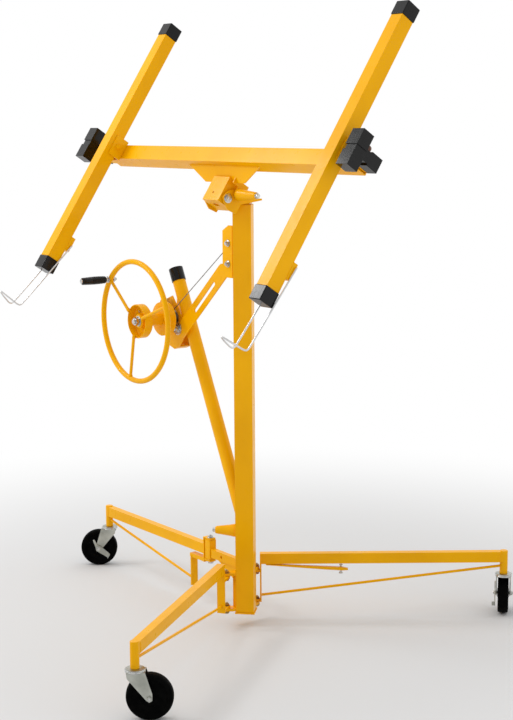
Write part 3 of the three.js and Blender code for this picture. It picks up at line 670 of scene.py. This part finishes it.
def brace_bolts():
    lower = from_mast(LOWER_BOLT[0], 0, LOWER_BOLT[1])
    cross_bolt("sheave_bolt", SHEAVE, -Y_AXIS, -BOLT_FACE, BOLT_FACE, tail=4)
    cross_bolt("brace_lower_bolt", lower, -Y_AXIS, -BOLT_FACE, BOLT_FACE, tail=4)
    place = from_mast(BRACE_BOLT[0], 0, BRACE_BOLT[1])
    shape = Shape()
    shape.disc(place, Y_AXIS, 21, -37.4, -34.4)
    shape.disc(place, Y_AXIS, 15, -39.6, -37.4)
    shape.hexagon(place, Y_AXIS, 12.5, -48, -39.4)
    shape.thread(place, Y_AXIS, 7.8, -48, -52)
    shape.disc(place, Y_AXIS, 11.5, -29.6, -24.8)
    shape.disc(place, Y_AXIS, 8, -40, -23)
    shape.hexagon(place, Y_AXIS, 12, 24.9, 33)
    shape.thread(place, Y_AXIS, 7.8, 32, 37)
    piece("brace_bolt_set", shape, "brace_bolt")


def leg_pins():
    for name in ("left", "right", "rear"):
        pin, _, _, _ = leg_frame(name)
        if name == "rear":
            cross_bolt("rear_leg_pin", pin, Z_AXIS, 156.6, 234.4)
            continue
        shape = Shape()
        for low, high in ((45.6, 63.4), (150.6, 168.4)):
            add_bolt(shape, pin, Z_AXIS, low, high, BOLT_SHANK, BOLT_HEAD, 3)
        piece(f"{name}_leg_pin_set", shape, f"{name}_leg_pin", look=PASSIVATED)


def tilt_bolt():
    cross_bolt("tilt_bolt", TILT_PIVOT, X_AXIS, -50.4, 50.4, shank=6, head=11)


PAWL = [(-392, 972), (-372, 1004), (-364, 1000), (-372, 968), (-366, 948), (-378, 946)]
SPRING_TURNS = 8
SPRING_STEPS = 16


def pawl():
    """The ratchet's pawl and its return spring, on the winch bracket behind the brake drum."""
    shape = Shape().slab(PAWL, from_mast(0, 0, 0), X_AXIS, Z_AXIS, 46, 49)
    piece("winch_pawl", shape, "winch_bracket", replaces=False, bevel=0.0006)
    pivot = Shape().disc(from_mast(-376, 0, 966), Y_AXIS, 4, -51, -24)
    pivot.hexagon(from_mast(-376, 0, 966), Y_AXIS, 6.5, -53.4, -49.2)
    piece("winch_pawl_bolt", pivot, "winch_bracket", slot="bright_steel", replaces=False)
    coil = []
    for step in range(SPRING_TURNS * SPRING_STEPS + 1):
        turn = 2 * math.pi * step / SPRING_STEPS
        coil.append(from_mast(-358 + 5 * math.cos(turn), -36 + 5 * math.sin(turn), 992 - 0.28 * step))
    spring = Shape().tube(coil, 0.8 * MM, 8)
    piece("winch_pawl_spring", spring, "winch_bracket", look=PASSIVATED, slot="bright_steel", replaces=False)


# ---- latches -----------------------------------------------------------------------------------------


def latch(node, origin, axis, length, wide, narrow):
    """A tapered handle, its plated pin's tip, and the ring that ends it."""
    profile = [(4, 0), (wide - 2, 0), (wide - 0.6, 1), (wide, 3), (wide - 0.2, 9)]
    profile += [(wide + (narrow - wide) * part, length * part) for part in (0.3, 0.5, 0.7, 0.9)]
    profile += [(narrow, length - 3), (narrow - 1, length - 0.6), (narrow - 2, length), (4, length)]
    piece(f"{node}_handle", Shape().lathe(profile, origin, axis, 64), node)
    tip = Shape().disc(origin, axis, 6.4, length - 2, length + 9, 32, 1.2)
    tip.disc(origin, axis, 8.4, length - 0.4, length + 2, 32)
    tip.disc(origin, axis, 7, -9, 2, 32)
    piece(f"{node}_pin", tip, node, slot="bright_steel", replaces=False)


def latches():
    start = (MAST_SIDE / 2 + 0.35 * MM) / math.sqrt(2) / MM
    out = Vector((-1, -1, 0)).normalized()
    latch("base_latch", from_mast(-start, -start, 298), out, 66, 20, 11.5)
    latch("tilt_latch", on_cradle(60.35, 25, -22), X_AXIS, 88, 18, 10.5)


# ---- hooks -------------------------------------------------------------------------------------------

HOOK_RUN = [
    (28.8, 0, 0), (28.8, -90, 0), (28.8, -180, 0), (28.8, -236, 0.5), (28.8, -254, 2),
    (27.8, -261, 10), (20.8, -263, 32), (10.8, -264, 56),
]
HOOK_TIP = (0, -264, 70)
HOOK_R = 2.5
HOOK_LEAN = {"left": 13.7, "right": 5.1}


def smooth_path(points, steps=6):
    """A smooth run of points through the given ones, by uniform Catmull-Rom."""
    ends = [points[0], *points, points[-1]]
    path = []
    for p0, p1, p2, p3 in zip(ends, ends[1:], ends[2:], ends[3:]):
        for step in range(steps):
            t = step / steps
            square = (2 * p0 - 5 * p1 + 4 * p2 - p3) * t * t
            cube = (3 * p1 - p0 - 3 * p2 + p3) * t ** 3
            path.append(0.5 * (2 * p1 + (p2 - p0) * t + square + cube))
    return path + [points[-1]]


def hooks():
    for name, lean in HOOK_LEAN.items():
        pivot = joint_place(f"{name}_hook_swing")
        turn = Matrix.Rotation(TILT - math.radians(lean), 3, "X")
        back = [(-x, y, z) for x, y, z in HOOK_RUN][::-1]
        points = [pivot + turn @ Vector(point) * MM for point in (*HOOK_RUN, HOOK_TIP, *back)]
        piece(f"{name}_hook_wire", Shape().tube(smooth_path(points), HOOK_R * MM, 14), f"{name}_hook")


# ---- casters -----------------------------------------------------------------------------------------


CASTER_RACE = [
    (25.2, 131.6), (26.8, 131.6), (27.6, 133), (26.2, 135.2), (27.6, 137.2), (26.8, 138.9), (25.2, 138.9),
]
HALF_TREAD = [
    (46.5, 13.5), (49, 15.6), (52, 16.2), (56, 16.8), (59.6, 15.6), (62, 12.6), (63.2, 8), (63.5, 3),
]
HALF_DISC = [
    (5.4, 18.4), (13.4, 18.4), (14, 17.8), (15, 14), (17, 12.4), (24, 12.4), (25, 13.6), (27, 13.6),
    (28, 12.4), (40, 12.4), (43, 13.8), (46.4, 14.4),
]


def mirrored(half):
    """A half profile and its mirror image across the middle, as one loop."""
    return half + [(radius, -height) for radius, height in half[::-1]]


def caster(name):
    swivel = joint_place(f"{name}_caster_swivel")
    swivel.z = 0
    centre, axle = joint_place(f"{name}_wheel_roll"), joint_axis(f"{name}_wheel_roll")
    fork = f"{name}_caster_fork"
    race = Shape().lathe(CASTER_RACE, swivel, Z_AXIS, 64)
    piece(f"{name}_caster_race", race, fork, slot="bright_steel", replaces=False)
    nuts = Shape()
    for sign in (-1, 1):
        nuts.hexagon(centre, axle * sign, 7.5, 23.2, 28.6)
        nuts.thread(centre, axle * sign, 4.6, 28, 31)
    piece(f"{name}_axle_nuts", nuts, fork, slot="bright_steel", replaces=False)
    wheel = f"{name}_caster_wheel"
    piece(f"{name}_tyre", Shape().lathe(mirrored(HALF_TREAD), centre, axle), wheel)
    piece(f"{name}_wheel_disc", Shape().lathe(mirrored(HALF_DISC), centre, axle), wheel, replaces=False)


# ---- welds and small fittings ---------------------------------------------------------------------------


POST_HALF = 12.2


def leg_details(name):
    pin, along, across, length = leg_frame(name)
    node = f"{name}_leg"

    def at(x, y, z):
        return pin + (along * x + across * y) * MM + Z_AXIS * z * MM

    beads = Shape()
    edge = length - POST_HALF
    for side in (1, -1):
        beads.weld([at(edge, side * POST_HALF, 180), at(edge + 1, side * (POST_HALF + 0.2), 209)], BEAD)
    beads.weld([at(edge + 1, -11, 178.2), at(edge + 1, 11, 178.2)], BEAD)
    rod_end = at(length - 13, 0, 163)
    beads.weld([rod_end + across * turn * MM for turn in (-4, 0, 4)], 2.2)
    piece(f"{name}_leg_welds", beads, node, replaces=False)
    cap = Shape().disc(at(length, 0, 0), Z_AXIS, POST_HALF, 211.5, 213.4)
    piece(f"{name}_post_cap", cap, node, replaces=False)


LOCK_BAR = [(30, 177), (270, 165), (288, 161), (288, 156), (270, 155), (210, 159), (30, 174)]


def lock_bar():
    """A tapered bar under the right leg, with the pin that locks the leg open."""
    pin, along, across, _ = leg_frame("right")
    bar = Shape().slab(LOCK_BAR, pin - across * 6 * MM, along, Z_AXIS, -6, 6)
    piece("leg_lock_bar", bar, "right_leg", replaces=False, bevel=EASE)
    shape = Shape()
    spot = pin + along * 266 * MM
    shape.disc(spot, Z_AXIS, 3.4, 146, 177)
    shape.disc(spot, Z_AXIS, 6.5, 143, 148)
    shape.disc(spot, Z_AXIS, 6, 170, 172.5)
    piece("leg_lock_pin", shape, "right_leg", slot="bright_steel", replaces=False)


FOOT_SIDE = 62


def mast_details():
    corner = FOOT_SIDE / math.sqrt(2)
    cut = [(-corner * 0.6, corner * 0.4), (-corner * 0.6, -corner * 0.4)]
    square = [(corner, 0), (0, corner), *cut, (0, -corner)]
    foot = Shape().slab(square, from_mast(0, 0, 0), X_AXIS, Y_AXIS, 38.5, 42.6)
    piece("mast_foot_plate", foot, "mast_outer", replaces=False, bevel=EASE)
    beads = Shape()
    for side in (-1, 1):
        beads.weld([from_mast(-14, side * 27, 54), from_mast(-14, side * 27, 160)], 2)
        beads.weld([from_mast(-4, side * 37.5, 168.5), from_mast(-24, side * 17.5, 168.5)], BEAD)
    for side in (-1, 1):
        beads.weld([from_mast(-41, side * 9, 199), from_mast(-41, side * 9, 173)], 2)
    beads.weld([from_mast(-202, -12.6, 166), from_mast(-178, -12.6, 166)], 1.2)
    piece("mast_welds", beads, "mast_outer", replaces=False)


def cradle_details():
    beads = Shape()
    low = CROSSBAR_S - 26
    for side in (-1, 1):
        beads.weld([on_cradle(side * 170, low, 34), on_cradle(side * 44, low, 34)], BEAD)
    piece("crossbar_welds", beads, "crossbar", replaces=False)


def arm_details():
    for name, side in (("left", -1), ("right", 1)):
        shape = Shape()
        for edge in (-1, 1):
            spot = on_cradle(side * ARM_X + edge * 26.4, CROSSBAR_S, 86)
            shape.disc(spot, X_AXIS * edge, 9.5, 0, 1.4)
            shape.hexagon(spot, X_AXIS * edge, 7.5, 1.3, 6.4)
            boss = on_cradle(side * ARM_X + edge * 24, CROSSBAR_S - 372, 67.6)
            shape.disc(boss, X_AXIS * edge, 3.6, -0.2, 1.8)
        piece(f"{name}_arm_screws", shape, f"{name}_arm", replaces=False)


def outrigger_knob():
    spot = on_cradle(600, CROSSBAR_S, 31)
    stem = Shape().disc(spot, ALONG_CRADLE, 5, 25.2, 38)
    stem.disc(spot, ALONG_CRADLE, 9, 25.2, 28)
    piece("outrigger_knob_stem", stem, "crossbar", slot="bright_steel", replaces=False)
    profile = [(0.2, 36), (9, 36), (11, 38), (11.5, 44), (10, 49), (7, 51.5), (0.2, 52)]
    grip = Shape().lathe(profile, spot, ALONG_CRADLE, 48)
    piece("outrigger_knob", grip, "crossbar", look=BROWN, replaces=False)


BEVELS = {
    "mast_outer": 0.0035, "mast_middle": 0.0025, "mast_inner": 0.0025, "crossbar": 0.003,
    "cradle_box": 0.002, "left_leg": 0.003, "right_leg": 0.003, "rear_leg": 0.003,
}
for side_name in ("left", "right"):
    BEVELS[f"{side_name}_arm"] = 0.004
    BEVELS[f"{side_name}_arm_lower_cap"] = BEVELS[f"{side_name}_arm_upper_cap"] = 0.003
    BEVELS[f"{side_name}_outrigger"] = 0.003
    BEVELS[f"{side_name}_outrigger_pad"] = 0.0025

wheel_hub()
brake_drum()
cable_reel()
hand_wheel()
wheel_grip()
winch_shaft()
lift_cable()
brace_bolts()
pawl()
leg_pins()
tilt_bolt()
latches()
hooks()
for side_name in ("left", "right", "rear"):
    caster(side_name)
    leg_details(side_name)
lock_bar()
mast_details()
cradle_details()
arm_details()
outrigger_knob()
for node in sorted(frame["nodes"]):
    if not frame["nodes"][node].hide_render:
        softened(node, BEVELS.get(node, EASE))

# ---- camera, light and floor ---------------------------------------------------------------------

CAMERA_FROM_MAST = Vector((3.6675, -2.686, 1.5533))
CAMERA_HEADING = math.radians(143.31)
CAMERA_DIP = math.radians(9.015)
CAMERA_ROLL = math.radians(0.38)
SENSOR_HEIGHT = 24
FOCAL_LENGTH = 50.5


def make_camera():
    data = bpy.data.cameras.new("camera")
    data.sensor_fit = "VERTICAL"
    data.sensor_height = SENSOR_HEIGHT
    data.lens = FOCAL_LENGTH
    camera = bpy.data.objects.new("camera", data)
    bpy.context.scene.collection.objects.link(camera)
    forward = Vector((
        math.cos(CAMERA_HEADING) * math.cos(CAMERA_DIP),
        math.sin(CAMERA_HEADING) * math.cos(CAMERA_DIP),
        -math.sin(CAMERA_DIP),
    ))
    turn = forward.to_track_quat("-Z", "Y").to_matrix() @ Matrix.Rotation(-CAMERA_ROLL, 3, "Z")
    camera.matrix_world = Matrix.Translation(MAST + CAMERA_FROM_MAST) @ turn.to_4x4()
    bpy.context.scene.camera = camera


LIGHT_SIZE = 0.9
KEY_POWER = 45
GLINT_POWER = 17


def area_light(name, place, target, power):
    data = bpy.data.lights.new(name, "AREA")
    data.shape = "DISK"
    data.size = LIGHT_SIZE
    data.energy = power
    light = bpy.data.objects.new(name, data)
    light.location = place
    light.rotation_euler = (target - place).to_track_quat("-Z", "Y").to_euler()
    bpy.context.scene.collection.objects.link(light)


SKY = 1.0
SURROUND_LOW = 0.5
DIM_SIDE = (0.83, -0.5, -0.25)
DIM_WIDTH = 0.9


def make_world():
    """A white surround that is dimmer on one side of the room, so that the lift's faces differ."""
    world = bpy.data.worlds.new("studio")
    world.use_nodes = True
    tree = world.node_tree
    place = tree.nodes.new("ShaderNodeTexCoord")
    facing = tree.nodes.new("ShaderNodeVectorMath")
    facing.operation = "DOT_PRODUCT"
    facing.inputs[1].default_value = DIM_SIDE
    ramp = tree.nodes.new("ShaderNodeMapRange")
    ramp.interpolation_type = "SMOOTHSTEP"
    ramp.inputs["From Min"].default_value = 0.0
    ramp.inputs["From Max"].default_value = DIM_WIDTH
    ramp.inputs["To Min"].default_value = SKY
    ramp.inputs["To Max"].default_value = SURROUND_LOW
    tree.links.new(place.outputs["Generated"], facing.inputs[0])
    tree.links.new(facing.outputs["Value"], ramp.inputs["Value"])
    tree.links.new(ramp.outputs["Result"], tree.nodes["Background"].inputs["Strength"])
    tree.nodes["Background"].inputs["Color"].default_value = (1, 1, 1, 1)
    bpy.context.scene.world = world


FLOOR_NEAR = 0.8
FLOOR_FAR = 2.6
FLOOR_SIZE = 400


def make_floor():
    """A pale floor that glows up to the surround's white away from the lift, so that no edge shows."""
    bpy.ops.mesh.primitive_plane_add(size=FLOOR_SIZE)
    floor = bpy.context.object
    floor.name = "floor"
    shader = Shader("floor_paint", (0.68, 0.68, 0.68), 0.9)
    shader.set(Specular_IOR_Level=0.0)
    reach = shader.tree.nodes.new("ShaderNodeVectorMath")
    reach.operation = "LENGTH"
    shader.link(shader.place, reach.inputs[0])
    glow = shader.tree.nodes.new("ShaderNodeMapRange")
    glow.interpolation_type = "SMOOTHSTEP"
    glow.inputs["From Min"].default_value = FLOOR_NEAR
    glow.inputs["From Max"].default_value = FLOOR_FAR
    shader.link(reach.outputs["Value"], glow.inputs["Value"])
    white = shader.tree.nodes.new("ShaderNodeEmission")
    blend = shader.tree.nodes.new("ShaderNodeMixShader")
    shader.link(glow.outputs["Result"], blend.inputs["Fac"])
    shader.link(shader.surface.outputs["BSDF"], blend.inputs[1])
    shader.link(white.outputs["Emission"], blend.inputs[2])
    shader.link(blend.outputs["Shader"], shader.tree.nodes["Material Output"].inputs["Surface"])
    floor.data.materials.append(shader.material)


def make_lights():
    target = MAST + Vector((0, 0, 1.0))
    area_light("key", target + Vector((-2.6, -3.4, 3.0)), target, KEY_POWER)
    arms = MAST + Vector((0.3, -0.1, 1.5))
    area_light("glint", arms + Vector((-0.79, -0.38, 0.48)) * 3, arms, GLINT_POWER)
    bpy.context.scene.view_settings.view_transform = "Standard"


make_camera()
make_world()
make_floor()
make_lights()

# ---- box corners as plain numbers ----------------------------------------------------------------


def corners(bounds):
    return [[float(value) for value in corner] for corner in bounds]
